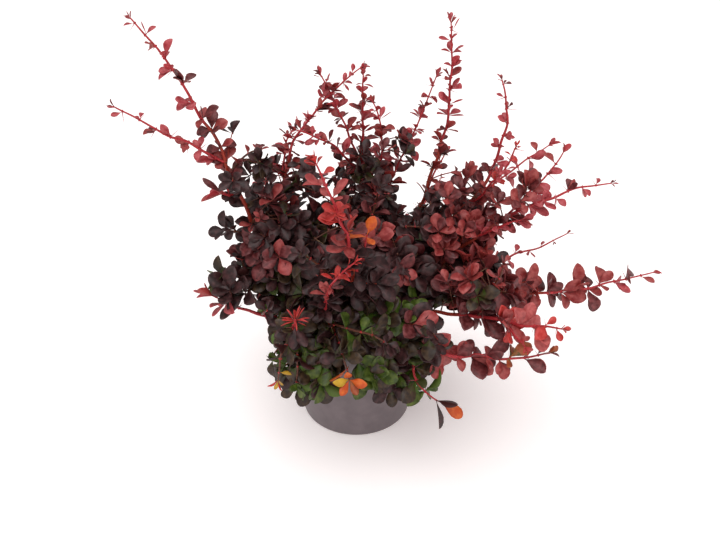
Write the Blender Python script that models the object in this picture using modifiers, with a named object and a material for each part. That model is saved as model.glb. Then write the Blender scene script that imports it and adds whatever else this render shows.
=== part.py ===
"""Japanese barberry with dark red leaves, growing in a round nursery pot.

Metres, +Z up. The origin is the middle of the pot's flat underside, and -Y is the
front. The pot, the compost, the stem foot and the boughs are single pieces, and each
mass of foliage is one closed solid: twigs grown by a seeded rule, with leaves fused on.
"""
from collections import namedtuple
from math import cos, pi, radians, sin
from random import Random

import bmesh
import bpy
from mathutils import Matrix, Vector
from mathutils.bvhtree import BVHTree
from mathutils.geometry import interpolate_bezier

MM = 0.001
GAP = 0.3 * MM          # clearance between pieces that meet
SEED = 27

# Pot: a tapered plastic container with a rim band
POT_HEIGHT = 132 * MM
POT_RIM_RADIUS = 85 * MM
POT_BASE_RADIUS = 64 * MM
POT_WALL = 1.2 * MM
POT_FLOOR = 2 * MM
RIM_BAND_HEIGHT = 14 * MM
RIM_BAND_STEP = 2.5 * MM
POT_FOOT_CHAMFER = 2 * MM
POT_SIDES = 40
DRAIN_HOLES = 6
DRAIN_RADIUS = 4 * MM
DRAIN_SIDES = 12
DRAIN_CIRCLE_RADIUS = 46 * MM
RIM_BAND_DRAFT = 0.5 * MM       # how much narrower the band is at its lower edge

# Compost: fills the pot to a little under its rim, and is highest in the middle
COMPOST_EDGE_HEIGHT = 115 * MM
COMPOST_TOP = 118 * MM
COMPOST_FLAT_RADIUS = 22 * MM
COMPOST_SLOPE_SHARE = 0.7       # share of its radius where it has sunk halfway

# Stem foot: the short woody stool that every bough springs from
FOOT_RADIUS = 18.5 * MM
FOOT_NECK_RADIUS = 15 * MM
FOOT_FLARE_HEIGHT = 7 * MM
FOOT_SIDES = 24

# Boughs: round limbs from the foot to where their foliage starts
BOUGH_RADIUS = 2.1 * MM
BOUGH_TIP_RADIUS = 1.8 * MM
BOUGH_LEAVE_SHARE = 0.4     # how far a bough keeps the way it leaves the foot
BOUGH_MEET_SHARE = 0.35     # how far back it turns the way its stem goes on
BOUGH_POINTS = 6
JOIN_LENGTH = 5 * MM        # straight length on each side of a knee

# Foliage: twigs are three-sided and leaves are kite-shaped blades
STEM_RADIUS = 1.8 * MM
STEM_POINTS = 10
SHOOT_RADIUS = 1.2 * MM
SHOOT_POINTS = 6
SHOOT_BARE_SHARE = 0.22         # share of a shoot below its first leaves
TWIG_RADIUS = 1.0 * MM
TWIG_END_RADIUS = 0.6 * MM
TWIG_POINTS = 3
TWIG_BARE_SHARE = 0.45
TWIG_LENGTH = 50 * MM
TWIG_LENGTH_RANGE = (0.8, 1.1)
TWIG_TAPER = 0.5                # how much shorter a twig at the tip of a stem would be
TWIG_SPACING = 26 * MM
TWIG_FIRST_SHARE = 0.04         # twigs and leaves start above this share of a stem
TWIG_TOP_SHARE = 0.5            # no side twigs above this share of a stem
TWIG_RISE_RANGE = (radians(25), radians(45))
TWIG_BOW = 2.5 * MM
NODE_SPACING = 30 * MM
NODE_TURN = radians(144)        # two fifths of a turn from node to node
LEAVES_PER_NODE = 2
LEAF_FAN = radians(78)          # angle between the leaves of one node
LEAF_LENGTH = 34 * MM           # at the foot of a stem
LEAF_TIP_LENGTH = 14 * MM       # at the tip of a young shoot
LEAF_SHOOT_SHARE = 0.85         # size of the leaves where a shoot starts
LEAF_TWIG_SHARES = (0.95, 0.7)  # size of the leaves at a twig's foot and tip
LEAF_LENGTH_RANGE = (0.85, 1.1)
LEAF_RISE_RANGE = (radians(22), radians(50))
LEAF_UPTURN = 0.9               # how strongly the leaves turn their faces up
LEAF_SINK = 0.2 * MM            # how deep a leaf's root goes into its twig
LEAF_TIP_SINK = 0.5 * MM
LEAF_REACH_SHARE = 0.7          # where along a leaf its space is tested
LEAF_WIDTH_SHARE = 0.56
LEAF_THICKNESS_SHARE = 0.035
LEAF_WIDEST_AT = 0.62
LEAF_CLEAR = 1.06               # how much larger a leaf is when its space is tested
LEAF_ROOT_SHARE = 0.17          # the roots of one node's leaves may meet up to this share

Limb = namedtuple("Limb", "knee tip bow shoots")
Shoot = namedtuple("Shoot", "start tip bow")

# One row per bough, in millimetres: the knee where its foliage starts, the tip of its
# stem, how far that stem bows off the straight line, and its side shoots, each with the
# share of the stem at which it starts.
LIMBS = {
    "left_tall": Limb((-92, -18, 170), (-190, -40, 440), (12, -5, 22), [
        Shoot(0.46, (-211, -60, 370), (0, 0, -1)),
        Shoot(0.34, (-130, -52, 286), (0, 0, 0)),
        Shoot(0.20, (-84, -50, 262), (-4, -2, 4)),
        Shoot(0.40, (-86, -10, 318), (-6, 0, 4)),
    ]),
    "left_mid": Limb((-58, 26, 180), (13, 58, 389), (-46, -2, 8), [
        Shoot(0.40, (-59, 62, 332), (-8, 0, 0)),
        Shoot(0.12, (-118, 40, 262), (-2, 0, 6)),
    ]),
    "left_low": Limb((-84, -44, 146), (-150, -60, 186), (2, 0, -4), [
        Shoot(0.13, (-112, -40, 226), (-8, 2, 6)),
        Shoot(0.06, (-132, -6, 196), (2, 2, 6)),
        Shoot(0.24, (-86, -78, 172), (2, -2, 4)),
    ]),
    "centre_tall": Limb((4, 34, 196), (8, 80, 384), (1, 2, 8), [
        Shoot(0.42, (-40, 50, 386), (-2, 4, 6)),
        Shoot(0.36, (-67, 18, 330), (4, -2, 10)),
        Shoot(0.30, (13, 52, 358), (16, -4, 2)),
        Shoot(0.12, (85, 52, 384), (4, 2, -10)),
    ]),
    "centre_mid": Limb((14, -14, 196), (26, -30, 292), (-3, 3, 2), [
        Shoot(0.20, (-30, -28, 282), (-4, 0, 6)),
        Shoot(0.10, (72, -36, 246), (0, 0, 8)),
    ]),
    "centre_front": Limb((-12, -60, 178), (-31, -150, 351), (16, -16, -8), [
        Shoot(0.36, (10, -130, 284), (3, 0, 2)),
        Shoot(0.22, (-52, -112, 256), (-4, 0, 4)),
    ]),
    "front_left": Limb((-52, -70, 146), (-50, -138, 206), (-3, -7, 2), [
        Shoot(0.10, (-84, -106, 128), (-2, -4, 8)),
        Shoot(0.34, (-74, -124, 118), (-2, -6, 10)),
        Shoot(0.20, (-58, -116, 104), (2, -10, 12)),
    ]),
    "front_low": Limb((-12, -86, 142), (6, -146, 265), (-20, -4, 8), [
        Shoot(0.12, (-4, -134, 126), (0, -6, 12)),
        Shoot(0.22, (36, -136, 172), (0, -4, 6)),
    ]),
    "front_right": Limb((42, -76, 146), (190, -112, 152), (0, -10, -8), [
        Shoot(0.12, (92, -108, 84), (-12, -8, -4)),
        Shoot(0.20, (70, -132, 190), (0, -6, 0)),
    ]),
    "right_front": Limb((80, -50, 158), (190, -132, 188), (8, -6, 2), [
        Shoot(0.45, (160, -124, 156), (2, -4, 2)),
        Shoot(0.30, (140, -78, 236), (2, -2, 2)),
    ]),
    "right_long": Limb((94, -6, 148), (323, -20, 190), (0, 0, -9), [
        Shoot(0.14, (160, 12, 118), (2, 2, 8)),
    ]),
    "right_mid": Limb((86, -16, 190), (254, -30, 290), (-2, 0, 18), [
        Shoot(0.30, (209, 0, 318), (6, 0, -2)),
        Shoot(0.26, (168, -44, 258), (2, -2, 4)),
    ]),
    "right_upper": Limb((68, 8, 202), (134, 0, 387), (34, 0, 2), [
        Shoot(0.30, (146, -50, 336), (4, 0, -6)),
        Shoot(0.16, (210, 40, 312), (-2, 2, 2)),
    ]),
    "right_tall": Limb((50, 36, 196), (90, 36, 436), (18, 0, -2), [
        Shoot(0.16, (102, 66, 300), (2, 0, 4)),
    ]),
    "right_back": Limb((82, 40, 158), (260, 70, 198), (-4, 0, -14), [
        Shoot(0.18, (170, 92, 224), (0, 2, 4)),
        Shoot(0.12, (150, 30, 210), (0, 0, 6)),
    ]),
    "back_left": Limb((-62, 62, 162), (-128, 124, 250), (4, -4, 4), [
        Shoot(0.20, (-138, 78, 186), (-2, 0, 6)),
        Shoot(0.26, (-76, 146, 196), (2, 2, 4)),
    ]),
    "back_mid": Limb((-8, 80, 170), (-22, 168, 262), (2, 6, -4), [
        Shoot(0.20, (-46, 158, 160), (-2, 2, 8)),
        Shoot(0.24, (28, 148, 214), (2, 2, 4)),
    ]),
    "back_right": Limb((56, 70, 164), (112, 146, 244), (-2, 2, 4), [
        Shoot(0.18, (50, 160, 156), (0, 2, 10)),
        Shoot(0.24, (146, 108, 166), (2, 2, 8)),
    ]),
}

# Finishes: linear colour and roughness
TAUPE_PLASTIC = ((0.135, 0.107, 0.115, 1), 0.45)
COMPOST_BROWN = ((0.035, 0.022, 0.015, 1), 0.95)
BARK_BROWN = ((0.16, 0.085, 0.045, 1), 0.8)
LEAF_RED = ((0.09, 0.022, 0.030, 1), 0.5)


def material(name, look):
    """A Principled material of one colour and roughness."""
    colour, roughness = look
    made = bpy.data.materials.new(name)
    made.use_nodes = True
    shader = made.node_tree.nodes["Principled BSDF"]
    shader.inputs["Base Color"].default_value = colour
    shader.inputs["Roughness"].default_value = roughness
    shader.inputs["Metallic"].default_value = 0
    return made


def add_object(name, data, collection, look=None):
    """Link an object that shows this mesh or curve, finished in its own material."""
    piece = bpy.data.objects.new(name, data)
    collection.objects.link(piece)
    if look:
        data.materials.append(material(name, look))
    return piece


def turned(name, profile, sides, collection, look):
    """Turn a profile about Z. It runs down the outer side, from one point on the axis
    to another, or round a wall back to its start."""
    mesh = bpy.data.meshes.new(name)
    outline = bmesh.new()
    points = [outline.verts.new((radius, 0, height)) for radius, height in profile]
    for upper, lower in zip(points, points[1:]):
        outline.edges.new((upper, lower))
    outline.to_mesh(mesh)
    outline.free()
    piece = add_object(name, mesh, collection, look)
    screw = piece.modifiers.new("Turn", "SCREW")
    screw.steps = sides
    screw.render_steps = sides
    screw.use_merge_vertices = True
    screw.merge_threshold = 0.00001
    return piece


def pot_radius_at(height):
    """Outer radius of the pot's tapered wall below its rim band."""
    top = POT_RIM_RADIUS - RIM_BAND_STEP
    return POT_BASE_RADIUS + (top - POT_BASE_RADIUS) * height / POT_HEIGHT


def make_pot(collection, cutters):
    """The container, with drain holes through its floor."""
    band_foot = POT_HEIGHT - RIM_BAND_HEIGHT
    inner_top = pot_radius_at(POT_HEIGHT) - POT_WALL
    inner_floor = pot_radius_at(POT_FLOOR) - POT_WALL
    profile = [
        (0, POT_FLOOR),
        (inner_floor, POT_FLOOR),
        (inner_top, POT_HEIGHT),
        (POT_RIM_RADIUS, POT_HEIGHT),
        (POT_RIM_RADIUS - RIM_BAND_DRAFT, band_foot),
        (pot_radius_at(band_foot), band_foot),
        (pot_radius_at(POT_FOOT_CHAMFER), POT_FOOT_CHAMFER),
        (POT_BASE_RADIUS - POT_FOOT_CHAMFER, 0),
        (0, 0),
    ]
    pot = turned("pot", profile, POT_SIDES, collection, TAUPE_PLASTIC)
    drills = bmesh.new()
    for index in range(DRAIN_HOLES):
        turn = Matrix.Rotation(2 * pi * index / DRAIN_HOLES, 4, "Z")
        place = turn @ Matrix.Translation((DRAIN_CIRCLE_RADIUS, 0, POT_FLOOR / 2))
        bmesh.ops.create_cone(drills, cap_ends=True, segments=DRAIN_SIDES,
                              radius1=DRAIN_RADIUS, radius2=DRAIN_RADIUS,
                              depth=3 * POT_FLOOR, matrix=place)
    mesh = bpy.data.meshes.new("drain_drills")
    drills.to_mesh(mesh)
    drills.free()
    cutter = add_object("drain_drills", mesh, cutters)
    cutter.hide_render = True
    cutter.display_type = "WIRE"
    cut = pot.modifiers.new("Drain holes", "BOOLEAN")
    cut.operation = "DIFFERENCE"
    cut.object = cutter
    return pot


def make_compost(collection):
    """The root ball and compost, as one solid that lies inside the pot."""
    floor = POT_FLOOR + GAP

    def radius_at(height):
        return pot_radius_at(height) - POT_WALL - 2 * GAP

    edge_radius = radius_at(COMPOST_EDGE_HEIGHT)
    profile = [
        (0, COMPOST_TOP),
        (COMPOST_FLAT_RADIUS, COMPOST_TOP),
        (COMPOST_SLOPE_SHARE * edge_radius, (COMPOST_TOP + COMPOST_EDGE_HEIGHT) / 2),
        (edge_radius, COMPOST_EDGE_HEIGHT),
        (radius_at(floor), floor),
        (0, floor),
    ]
    return turned("compost", profile, POT_SIDES, collection, COMPOST_BROWN)


def foot_centre():
    """Middle of the dome that tops the stem foot."""
    return Vector((0, 0, COMPOST_TOP + GAP + FOOT_FLARE_HEIGHT))


def make_foot(collection):
    """The stool: flared where it meets the compost, and domed on top."""
    centre = foot_centre()
    rings = FOOT_SIDES // 4
    dome = [(FOOT_NECK_RADIUS * sin(0.5 * pi * ring / rings),
             centre.z + FOOT_NECK_RADIUS * cos(0.5 * pi * ring / rings))
            for ring in range(rings + 1)]
    profile = dome + [(FOOT_RADIUS, COMPOST_TOP + GAP), (0, COMPOST_TOP + GAP)]
    return turned("stem_foot", profile, FOOT_SIDES, collection, BARK_BROWN)


def millimetres(place):
    """A row's place as a vector in metres."""
    return Vector(place) * MM


def arc(start, tip, bow, count):
    """Points of a smooth curve whose middle lies off the straight line by the bow."""
    control = (start + tip) / 2 + 2 * bow
    points = []
    for index in range(count):
        share = index / (count - 1)
        points.append((1 - share) ** 2 * start + 2 * share * (1 - share) * control
                      + share ** 2 * tip)
    return points


def curve_object(name, points, radii, collection):
    """A round tube along the points, thinning as the radii say, with filled caps."""
    data = bpy.data.curves.new(name, "CURVE")
    data.dimensions = "3D"
    data.bevel_depth = 1
    data.bevel_resolution = 1
    data.use_fill_caps = True
    spline = data.splines.new("POLY")
    spline.points.add(len(points) - 1)
    for knot, place, radius in zip(spline.points, points, radii):
        knot.co = (*place, 1)
        knot.radius = radius
    return add_object(name, data, collection, BARK_BROWN)


def stem_line(limb):
    """Centre line of a limb's stem: straight where it meets its bough, then an arc that
    stops short of the tip, where its last leaf ends."""
    knee = millimetres(limb.knee)
    tip = millimetres(limb.tip)
    bow = millimetres(limb.bow)
    onward = ((tip - knee) / 2 + 2 * bow).normalized()
    end = tip - LEAF_TIP_LENGTH * ((tip - knee) / 2 - 2 * bow).normalized()
    return [knee + GAP * onward] + arc(knee + JOIN_LENGTH * onward, end, bow, STEM_POINTS)


def bough_line(limb):
    """Centre line of a bough: it leaves the foot's dome squarely, and at its knee it
    points the way its stem goes on."""
    knee = millimetres(limb.knee)
    stem = stem_line(limb)
    onward = (stem[1] - stem[0]).normalized()
    centre = foot_centre()
    away = (knee - centre).normalized()
    start = centre + (FOOT_NECK_RADIUS + GAP) * away
    end = knee - JOIN_LENGTH * onward
    reach = (end - start).length
    leave = start + BOUGH_LEAVE_SHARE * reach * away
    meet = end - BOUGH_MEET_SHARE * reach * onward
    curve = interpolate_bezier(start, leave, meet, end, BOUGH_POINTS)
    return [start, start + JOIN_LENGTH / 2 * away] + curve[1:] + [knee]


def frames(points):
    """A direction and a square side vector at each point, carried along untwisted."""
    result = []
    side = (points[1] - points[0]).orthogonal().normalized()
    last = len(points) - 1
    for index in range(len(points)):
        along = (points[min(index + 1, last)] - points[max(index - 1, 0)]).normalized()
        side = (side - side.dot(along) * along).normalized()
        result.append((along, side))
    return result


def twig_mesh(name, points, radius, end_radius):
    """A three-sided tapering twig, extruded from point to point and closed."""
    lines = frames(points)
    last = len(points) - 1

    def corner_place(index, corner):
        along, side = lines[index]
        size = radius + (end_radius - radius) * index / last
        return points[index] + size * (Matrix.Rotation(2 * pi * corner / 3, 3, along) @ side)

    twig = bmesh.new()
    ring = [twig.verts.new(corner_place(0, corner)) for corner in range(3)]
    twig.faces.new(ring)
    edges = list(twig.edges)
    for index in range(1, last + 1):
        grown = bmesh.ops.extrude_edge_only(twig, edges=edges)["geom"]
        edges = [item for item in grown if isinstance(item, bmesh.types.BMEdge)]
        for vert in (item for item in grown if isinstance(item, bmesh.types.BMVert)):
            corner = min(range(3), key=lambda c: (vert.co - corner_place(index - 1, c)).length)
            vert.co = corner_place(index, corner)
    bmesh.ops.holes_fill(twig, edges=edges, sides=3)
    bmesh.ops.recalc_face_normals(twig, faces=twig.faces)
    mesh = bpy.data.meshes.new(name)
    twig.to_mesh(mesh)
    twig.free()
    return mesh


def leaf_blade():
    """A leaf of unit length along +X from its root: a flat kite, widest past halfway."""
    blade = bmesh.new()
    bmesh.ops.create_uvsphere(blade, u_segments=4, v_segments=2, radius=0.5)
    for vert in blade.verts:
        if abs(vert.co.x) > 0.1:
            vert.co.x += 0.5
        else:
            vert.co.x = LEAF_WIDEST_AT
        vert.co.y *= LEAF_WIDTH_SHARE
        vert.co.z *= LEAF_THICKNESS_SHARE
    mesh = bpy.data.meshes.new("leaf_blade")
    blade.to_mesh(mesh)
    blade.free()
    return mesh


class Room:
    """Everything placed so far, to test whether a new twig or leaf would touch it."""

    def __init__(self):
        self.pieces = []

    def add(self, owner, corners, faces):
        low = Vector(min(c[axis] for c in corners) for axis in range(3))
        high = Vector(max(c[axis] for c in corners) for axis in range(3))
        self.pieces.append((owner, low, high, BVHTree.FromPolygons(corners, faces)))

    def is_clear(self, corners, faces, carrier=None):
        low = Vector(min(c[axis] for c in corners) - GAP for axis in range(3))
        high = Vector(max(c[axis] for c in corners) + GAP for axis in range(3))
        tree = None
        for owner, other_low, other_high, other_tree in self.pieces:
            if owner == carrier:
                continue
            apart = any(low[axis] > other_high[axis] or high[axis] < other_low[axis]
                        for axis in range(3))
            if apart:
                continue
            tree = tree or BVHTree.FromPolygons(corners, faces)
            if tree.overlap(other_tree):
                return False
        return True


def evaluated(piece):
    """World corners and faces of an object as the viewport shows it."""
    graph = bpy.context.evaluated_depsgraph_get()
    mesh = bpy.data.meshes.new_from_object(piece.evaluated_get(graph))
    corners = [piece.matrix_world @ vert.co for vert in mesh.vertices]
    faces = [tuple(face.vertices) for face in mesh.polygons]
    bpy.data.meshes.remove(mesh)
    return corners, faces


def point_on(points, share):
    """The place at a share of the way along a line of points."""
    at = share * (len(points) - 1)
    index = min(int(at), len(points) - 2)
    return points[index].lerp(points[index + 1], at - index)


def line_length(points):
    return sum((b - a).length for a, b in zip(points, points[1:]))


def shoot_lines(limb, stem):
    """Centre lines of a limb's side shoots, which leave room for a leaf at the tip."""
    lines = []
    for shoot in limb.shoots:
        start = point_on(stem, shoot.start)
        tip = millimetres(shoot.tip)
        bow = millimetres(shoot.bow)
        end = tip - LEAF_TIP_LENGTH * ((tip - start) / 2 - 2 * bow).normalized()
        lines.append(arc(start, end, bow, SHOOT_POINTS))
    return lines


class Foliage:
    """One mass of foliage: a stem, its side shoots, twigs and leaves."""

    def __init__(self, name, room, regions, blade, collection):
        self.name = name
        self.room = room
        self.regions = regions
        self.blade = blade
        self.collection = collection
        self.random = Random(f"{SEED} {name}")
        self.twigs = 0
        self.leaves = 0

    def is_inside(self, place):
        """True where this mass's own lines are the nearest ones."""
        nearest = {}
        for name, places in self.regions.items():
            nearest[name] = min((place - other).length_squared for other in places)
        return min(nearest, key=nearest.get) == self.name

    def add_twig(self, points, radius, carrier):
        """Place a twig unless it would touch something or leave the space."""
        key = f"{self.name} twig {self.twigs}"
        mesh = twig_mesh(key, points, radius, TWIG_END_RADIUS)
        corners = [vert.co.copy() for vert in mesh.vertices]
        faces = [tuple(face.vertices) for face in mesh.polygons]
        is_free = self.room.is_clear(corners, faces, carrier)
        if not is_free or (carrier and not self.is_inside(points[-1])):
            bpy.data.meshes.remove(mesh)
            return None
        self.room.add(key, corners, faces)
        self.twigs += 1
        return add_object(key, mesh, self.collection), key

    def add_leaf(self, root, along, up, length, carrier):
        """Place a leaf unless it would touch something or leave the space."""
        up = (up - up.dot(along) * along).normalized()
        turn = Matrix((along, up.cross(along), up)).transposed().to_4x4()
        place = Matrix.Translation(root) @ turn
        if not self.is_inside(root + LEAF_REACH_SHARE * length * along):
            return
        tested = place @ Matrix.Scale(LEAF_CLEAR * length, 4)
        corners = [tested @ Vector((max(vert.co.x, LEAF_ROOT_SHARE), vert.co.y, vert.co.z))
                   for vert in self.blade.vertices]
        faces = [tuple(face.vertices) for face in self.blade.polygons]
        if not self.room.is_clear(corners, faces, carrier):
            return
        key = f"{self.name} leaf {self.leaves}"
        self.room.add(key, corners, faces)
        self.leaves += 1
        leaf = add_object(key, self.blade, self.collection)
        leaf.matrix_world = place @ Matrix.Scale(length, 4)

    def add_leaves(self, points, carrier, first_share, large, small):
        """A fan of leaves at each node of a line, and one leaf at its tip."""
        count = max(2, round(line_length(points) / NODE_SPACING))
        lines = frames(points)
        turn = self.random.uniform(0, 2 * pi)
        for node in range(count + 1):
            share = first_share + (1 - first_share) * node / count
            turn += NODE_TURN
            along, side = lines[round(share * (len(points) - 1))]
            length = large + (small - large) * share
            length *= self.random.uniform(*LEAF_LENGTH_RANGE)
            root = point_on(points, share)
            if node == count:
                root -= LEAF_TIP_SINK * along
                self.add_leaf(root, along, Vector((0, 0, 1)) + side, length, carrier)
                return
            for leaf in range(LEAVES_PER_NODE):
                fan = turn + (leaf - (LEAVES_PER_NODE - 1) / 2) * LEAF_FAN
                outward = Matrix.Rotation(fan, 3, along) @ side
                rise = self.random.uniform(*LEAF_RISE_RANGE)
                aim = cos(rise) * outward + sin(rise) * along
                face_up = cos(rise) * along - sin(rise) * outward + Vector((0, 0, LEAF_UPTURN))
                self.add_leaf(root - LEAF_SINK * aim, aim, face_up, length, carrier)

    def add_side_twigs(self, points, carrier):
        """Short leafy twigs along the lower part of a line."""
        count = max(2, round(TWIG_TOP_SHARE * line_length(points) / TWIG_SPACING))
        lines = frames(points)
        turn = self.random.uniform(0, 2 * pi)
        for node in range(count):
            share = TWIG_FIRST_SHARE + (TWIG_TOP_SHARE - TWIG_FIRST_SHARE) * node / count
            turn += NODE_TURN
            along, side = lines[round(share * (len(points) - 1))]
            outward = Matrix.Rotation(turn, 3, along) @ side
            rise = self.random.uniform(*TWIG_RISE_RANGE)
            aim = cos(rise) * outward + sin(rise) * along
            length = TWIG_LENGTH * (1 - TWIG_TAPER * share)
            length *= self.random.uniform(*TWIG_LENGTH_RANGE)
            root = point_on(points, share)
            twig = arc(root, root + length * aim, Vector((0, 0, TWIG_BOW)), TWIG_POINTS)
            placed = self.add_twig(twig, TWIG_RADIUS, carrier)
            if placed:
                large, small = (share * LEAF_LENGTH for share in LEAF_TWIG_SHARES)
                self.add_leaves(twig, placed[1], TWIG_BARE_SHARE, large, small)


def is_one_closed_body(mesh):
    """True for a mesh whose every edge has two faces, and that is all in one piece."""
    shell = bmesh.new()
    shell.from_mesh(mesh)
    closed = all(len(edge.link_faces) == 2 for edge in shell.edges)
    reached = set()
    waiting = [shell.verts[:][0]]
    while waiting:
        vert = waiting.pop()
        if vert not in reached:
            reached.add(vert)
            waiting += [edge.other_vert(vert) for edge in vert.link_edges]
    whole = len(reached) == len(shell.verts)
    shell.free()
    return closed and whole


def join_mass(mass, collection):
    """Fuse a mass's stem, twigs and leaves into one closed solid."""
    pieces = mass.collection
    pieces.objects.unlink(mass.stem)
    collection.objects.link(mass.stem)
    fuse = mass.stem.modifiers.new("Fuse", "BOOLEAN")
    fuse.operation = "UNION"
    fuse.operand_type = "COLLECTION"
    fuse.collection = pieces
    name = f"foliage_{mass.name}"
    for solver in ("EXACT", "MANIFOLD"):
        fuse.solver = solver
        graph = bpy.context.evaluated_depsgraph_get()
        mesh = bpy.data.meshes.new_from_object(mass.stem.evaluated_get(graph))
        if is_one_closed_body(mesh):
            break
    mesh.name = name
    add_object(name, mesh, collection, LEAF_RED)
    for piece in list(pieces.objects) + [mass.stem]:
        bpy.data.objects.remove(piece, do_unlink=True)
    bpy.data.collections.remove(pieces)


def main():
    for piece in list(bpy.data.objects):
        bpy.data.objects.remove(piece, do_unlink=True)
    scene = bpy.context.scene.collection
    plant = bpy.data.collections.new("potted_barberry")
    cutters = bpy.data.collections.new("cutters")
    scene.children.link(plant)
    scene.children.link(cutters)

    room = Room()
    for piece in (make_pot(plant, cutters), make_compost(plant), make_foot(plant)):
        room.add(piece.name, *evaluated(piece))

    stems = {}
    shoots = {}
    regions = {}
    for name, limb in LIMBS.items():
        points = bough_line(limb)
        radii = [BOUGH_RADIUS + (BOUGH_TIP_RADIUS - BOUGH_RADIUS) * index / (len(points) - 1)
                 for index in range(len(points))]
        bough = curve_object(f"bough_{name}", points, radii, plant)
        room.add(bough.name, *evaluated(bough))
        stems[name] = stem_line(limb)
        shoots[name] = shoot_lines(limb, stems[name])
        regions[name] = stems[name] + [place for line in shoots[name] for place in line]

    blade = leaf_blade()
    masses = []
    for name in LIMBS:
        pieces = bpy.data.collections.new(f"{name}_pieces")
        scene.children.link(pieces)
        mass = Foliage(name, room, regions, blade, pieces)
        mass.stem, mass.stem_key = mass.add_twig(stems[name], STEM_RADIUS, None)
        masses.append(mass)

    placed_shoots = []
    for mass in masses:
        for line in shoots[mass.name]:
            placed = mass.add_twig(line, SHOOT_RADIUS, mass.stem_key)
            if placed:
                placed_shoots.append((mass, line, placed[1]))
    for mass, line, key in placed_shoots:
        large = LEAF_SHOOT_SHARE * LEAF_LENGTH
        mass.add_leaves(line, key, SHOOT_BARE_SHARE, large, LEAF_TIP_LENGTH)
    for mass in masses:
        stem = stems[mass.name]
        mass.add_leaves(stem, mass.stem_key, TWIG_FIRST_SHARE, LEAF_LENGTH, LEAF_TIP_LENGTH)
    for mass in masses:
        mass.add_side_twigs(stems[mass.name], mass.stem_key)
    for mass in masses:
        join_mass(mass, plant)


main()
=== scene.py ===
from collections import namedtuple
from itertools import product
from math import cos, exp, hypot, pi, radians, sin
from random import Random

import bmesh
import bpy
import numpy as np
from mathutils import Matrix, Vector, noise
from mathutils.geometry import interpolate_bezier, intersect_point_line


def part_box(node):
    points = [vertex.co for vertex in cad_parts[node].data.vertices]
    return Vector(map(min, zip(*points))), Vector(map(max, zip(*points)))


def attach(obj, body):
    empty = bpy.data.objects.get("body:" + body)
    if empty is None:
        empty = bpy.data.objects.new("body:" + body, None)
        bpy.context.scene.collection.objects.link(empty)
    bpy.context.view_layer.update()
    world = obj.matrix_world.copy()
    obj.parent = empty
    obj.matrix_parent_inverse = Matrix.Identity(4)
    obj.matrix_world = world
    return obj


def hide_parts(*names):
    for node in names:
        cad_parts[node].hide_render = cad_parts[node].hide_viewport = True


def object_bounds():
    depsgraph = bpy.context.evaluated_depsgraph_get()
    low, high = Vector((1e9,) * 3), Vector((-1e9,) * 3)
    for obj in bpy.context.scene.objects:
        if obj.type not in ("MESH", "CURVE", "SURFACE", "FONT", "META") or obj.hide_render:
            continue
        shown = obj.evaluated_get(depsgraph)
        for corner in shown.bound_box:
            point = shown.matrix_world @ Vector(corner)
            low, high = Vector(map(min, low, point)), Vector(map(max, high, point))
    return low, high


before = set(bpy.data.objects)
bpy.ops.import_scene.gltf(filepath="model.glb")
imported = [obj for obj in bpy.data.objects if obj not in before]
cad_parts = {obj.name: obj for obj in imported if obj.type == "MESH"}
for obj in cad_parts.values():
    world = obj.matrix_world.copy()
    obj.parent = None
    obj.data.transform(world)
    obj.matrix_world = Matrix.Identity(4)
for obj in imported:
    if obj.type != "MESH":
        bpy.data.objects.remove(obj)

CAD_LOW, CAD_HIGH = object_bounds()
MM = 0.001

# The pot is a thin taupe polypropylene nursery container, injection moulded with a
# turned-out rim band, a tapered wall and drain holes. The compost fills it.
POT_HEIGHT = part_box("pot")[1].z
POT_RIM_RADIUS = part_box("pot")[1].x
POT_BASE_RADIUS = 64 * MM
POT_WALL = 1.2 * MM
POT_FLOOR = 2 * MM
RIM_BAND_HEIGHT = 14 * MM
RIM_BAND_STEP = 2.5 * MM
POT_CHAMFER = 2 * MM
POT_STEPS = 160
DRAIN_HOLES = 6
DRAIN_RADIUS = 4 * MM
DRAIN_CIRCLE_RADIUS = 46 * MM


def linear(colour):
    """An sRGB hex colour as linear red, green, blue and alpha."""
    channels = [int(colour[place:place + 2], 16) / 255 for place in (1, 3, 5)]
    curved = [c / 12.92 if c <= 0.04045 else ((c + 0.055) / 1.055) ** 2.4 for c in channels]
    return (*curved, 1)


def add_node(material, kind, settings=None, links=None, into=None):
    """Add a shader node: settings name its properties and input values, links join its
    inputs to outputs, and into joins its first output to inputs of the shader."""
    tree = material.node_tree
    node = tree.nodes.new(kind)
    for name, value in (settings or {}).items():
        if name in node.inputs:
            node.inputs[name].default_value = value
        else:
            setattr(node, name, value)
    for name, source in (links or {}).items():
        tree.links.new(node.inputs[name], source)
    if into:
        tree.links.new(tree.nodes["Principled BSDF"].inputs[into], node.outputs[0])
    return node


def patterned(name, tones, size, rough, relief=0, detail=4, spread=(0.35, 0.72), **settings):
    """A Principled material whose two tones, roughness and relief follow one noise, with
    patches of the given size. Relief is the height of the bumps."""
    material = bpy.data.materials.new(name)
    material.use_nodes = True
    shader = material.node_tree.nodes["Principled BSDF"]
    for socket, value in settings.items():
        shader.inputs[socket.replace("_", " ")].default_value = value
    place = add_node(material, "ShaderNodeTexCoord").outputs["Object"]
    patches = add_node(material, "ShaderNodeTexNoise", {"Scale": 1 / size, "Detail": detail},
                       {"Vector": place}).outputs["Fac"]
    ramp = add_node(material, "ShaderNodeValToRGB", None, {"Fac": patches}, "Base Color")
    for stop, tone, position in zip(ramp.color_ramp.elements, tones, spread):
        stop.color = linear(tone)
        stop.position = position
    add_node(material, "ShaderNodeMapRange", {"To Min": rough[0], "To Max": rough[1]},
             {"Value": patches}, "Roughness")
    if relief:
        add_node(material, "ShaderNodeBump", {"Distance": relief}, {"Height": patches}, "Normal")
    return material


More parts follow.
